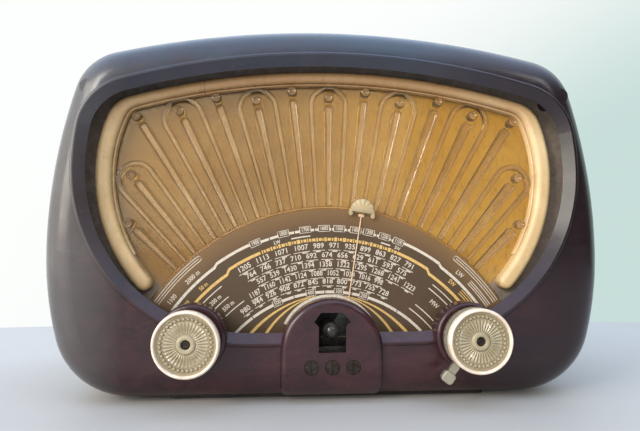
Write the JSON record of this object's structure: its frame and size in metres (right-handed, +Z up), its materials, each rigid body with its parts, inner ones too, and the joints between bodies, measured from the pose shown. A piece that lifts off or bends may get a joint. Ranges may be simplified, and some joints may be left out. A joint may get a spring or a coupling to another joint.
{
  "type": "tabletop radio",
  "caption": "Bakelite-cased table valve radio with a fan-ribbed clear grille over cloth, arc dial with sliding pointer, two front knobs and a band lever.",
  "frame": {"origin": "middle of the overall box at table level", "axes": "+X to the right seen from the front, the front faces -Y, +Z up"},
  "size_m": [0.384, 0.21, 0.256],
  "materials": {
    "bakelite": "glossy marbled dark plum-brown bakelite",
    "cream_plastic": "aged cream moulding",
    "clear_plastic": "yellowed clear moulding",
    "cloth": "golden woven speaker cloth",
    "brown_board": "pressed fibre board",
    "dial_print": "taupe plate printed off-white and orange",
    "sheet_steel": "cadmium-plated sheet",
    "brass": "dull brass",
    "rubber": "black rubber",
    "dark_plastic": "black moulded phenolic",
    "glass": "clear blown glass",
    "iron": "varnished laminations",
    "winding": "waxed paper over copper",
    "aluminium": "dull drawn aluminium",
    "paper_cone": "pressed paper",
    "cord": "waxed linen drive cord"
  },
  "bodies": {
    "case": {"cabinet": "bakelite", "dome_screws": "sheet_steel", "base_plate": "dark_plastic", "base_bolts": "sheet_steel", "bezel_frame": "cream_plastic", "grille_moulding": "clear_plastic", "speaker_cloth": "cloth", "baffle_board": "brown_board", "baffle_screws": "sheet_steel", "dial_plate": "dial_print", "dial_bracket": "sheet_steel", "cord_guide": "sheet_steel", "drive_cord": "cord", "gang_stator": "aluminium", "gang_frame": "sheet_steel", "volume_control": "sheet_steel", "band_switch_wafer": "brown_board", "window_lamp": "glass", "lamp_holder": "brass", "chassis": "sheet_steel", "mains_transformer_core": "iron", "mains_transformer_coil": "winding", "valve_sockets": "dark_plastic", "frequency_changer_valve": "glass", "if_amplifier_valve": "glass", "output_valve": "glass", "rectifier_valve": "glass", "if_can_first": "aluminium", "if_can_second": "aluminium", "smoothing_capacitor": "aluminium", "speaker_frame": "sheet_steel", "speaker_cone": "paper_cone", "speaker_dust_cap": "paper_cone", "speaker_magnet": "iron", "output_transformer": "iron", "rear_cover": "brown_board", "cover_blocks": "bakelite", "cover_screws": "brass", "aerial_socket_strip": "dark_plastic", "plug_sockets": "brass", "voltage_selector": "dark_plastic", "mains_grommet": "rubber"},
    "tuning_capacitor": {"gang_rotor": "aluminium", "drive_drum": "dark_plastic"},
    "tuning_control": {"tuning_knob": "clear_plastic", "tuning_knob_ring": "cream_plastic", "tuning_shaft": "brass"},
    "pointer": {"pointer_carriage": "brass", "pointer_shell": "clear_plastic", "pointer_needle": "brass"},
    "idler": {"cord_idler": "brass"},
    "volume_knob_set": {"volume_knob": "clear_plastic", "volume_knob_ring": "cream_plastic", "volume_shaft": "brass"},
    "band_selector": {"band_lever": "clear_plastic", "band_switch_rotor": "brown_board"}
  },
  "joints": [
    {"name": "tuning_capacitor_turn", "type": "hinge", "parent": "case", "child": "tuning_capacitor", "pos_m": [-0.03, 0, 0.072], "axis": [0, 1, 0], "range_deg": [-113.14, 66.86]},
    {"name": "tuning_turn", "type": "hinge", "parent": "case", "child": "tuning_control", "pos_m": [0.091, -0.09, 0.044], "axis": [0, 1, 0], "range_deg": [-1294.06, 765.08]},
    {"name": "pointer_sweep", "type": "hinge", "parent": "case", "child": "pointer", "pos_m": [0, -0.054, -0.017], "axis": [0, 1, 0], "range_deg": [-44.01, 26.01]},
    {"name": "idler_turn", "type": "hinge", "parent": "case", "child": "idler", "pos_m": [-0.0774, -0.051, 0.041], "axis": [0, 1, 0], "range_deg": [-755.29, 446.71]},
    {"name": "volume_turn", "type": "hinge", "parent": "case", "child": "volume_knob_set", "pos_m": [-0.091, -0.09, 0.044], "axis": [0, 1, 0], "range_deg": [0, 290]},
    {"name": "band_selector_turn", "type": "hinge", "parent": "case", "child": "band_selector", "pos_m": [0.091, -0.09, 0.044], "axis": [0, 1, 0], "range_deg": [-73, 0]}
  ],
  "couplings": [
    {"joint": "tuning_turn", "follows": "tuning_capacitor_turn", "ratio": 11.429},
    {"joint": "pointer_sweep", "follows": "tuning_capacitor_turn", "ratio": 0.38889},
    {"joint": "idler_turn", "follows": "tuning_capacitor_turn", "ratio": 6.6667}
  ]
}
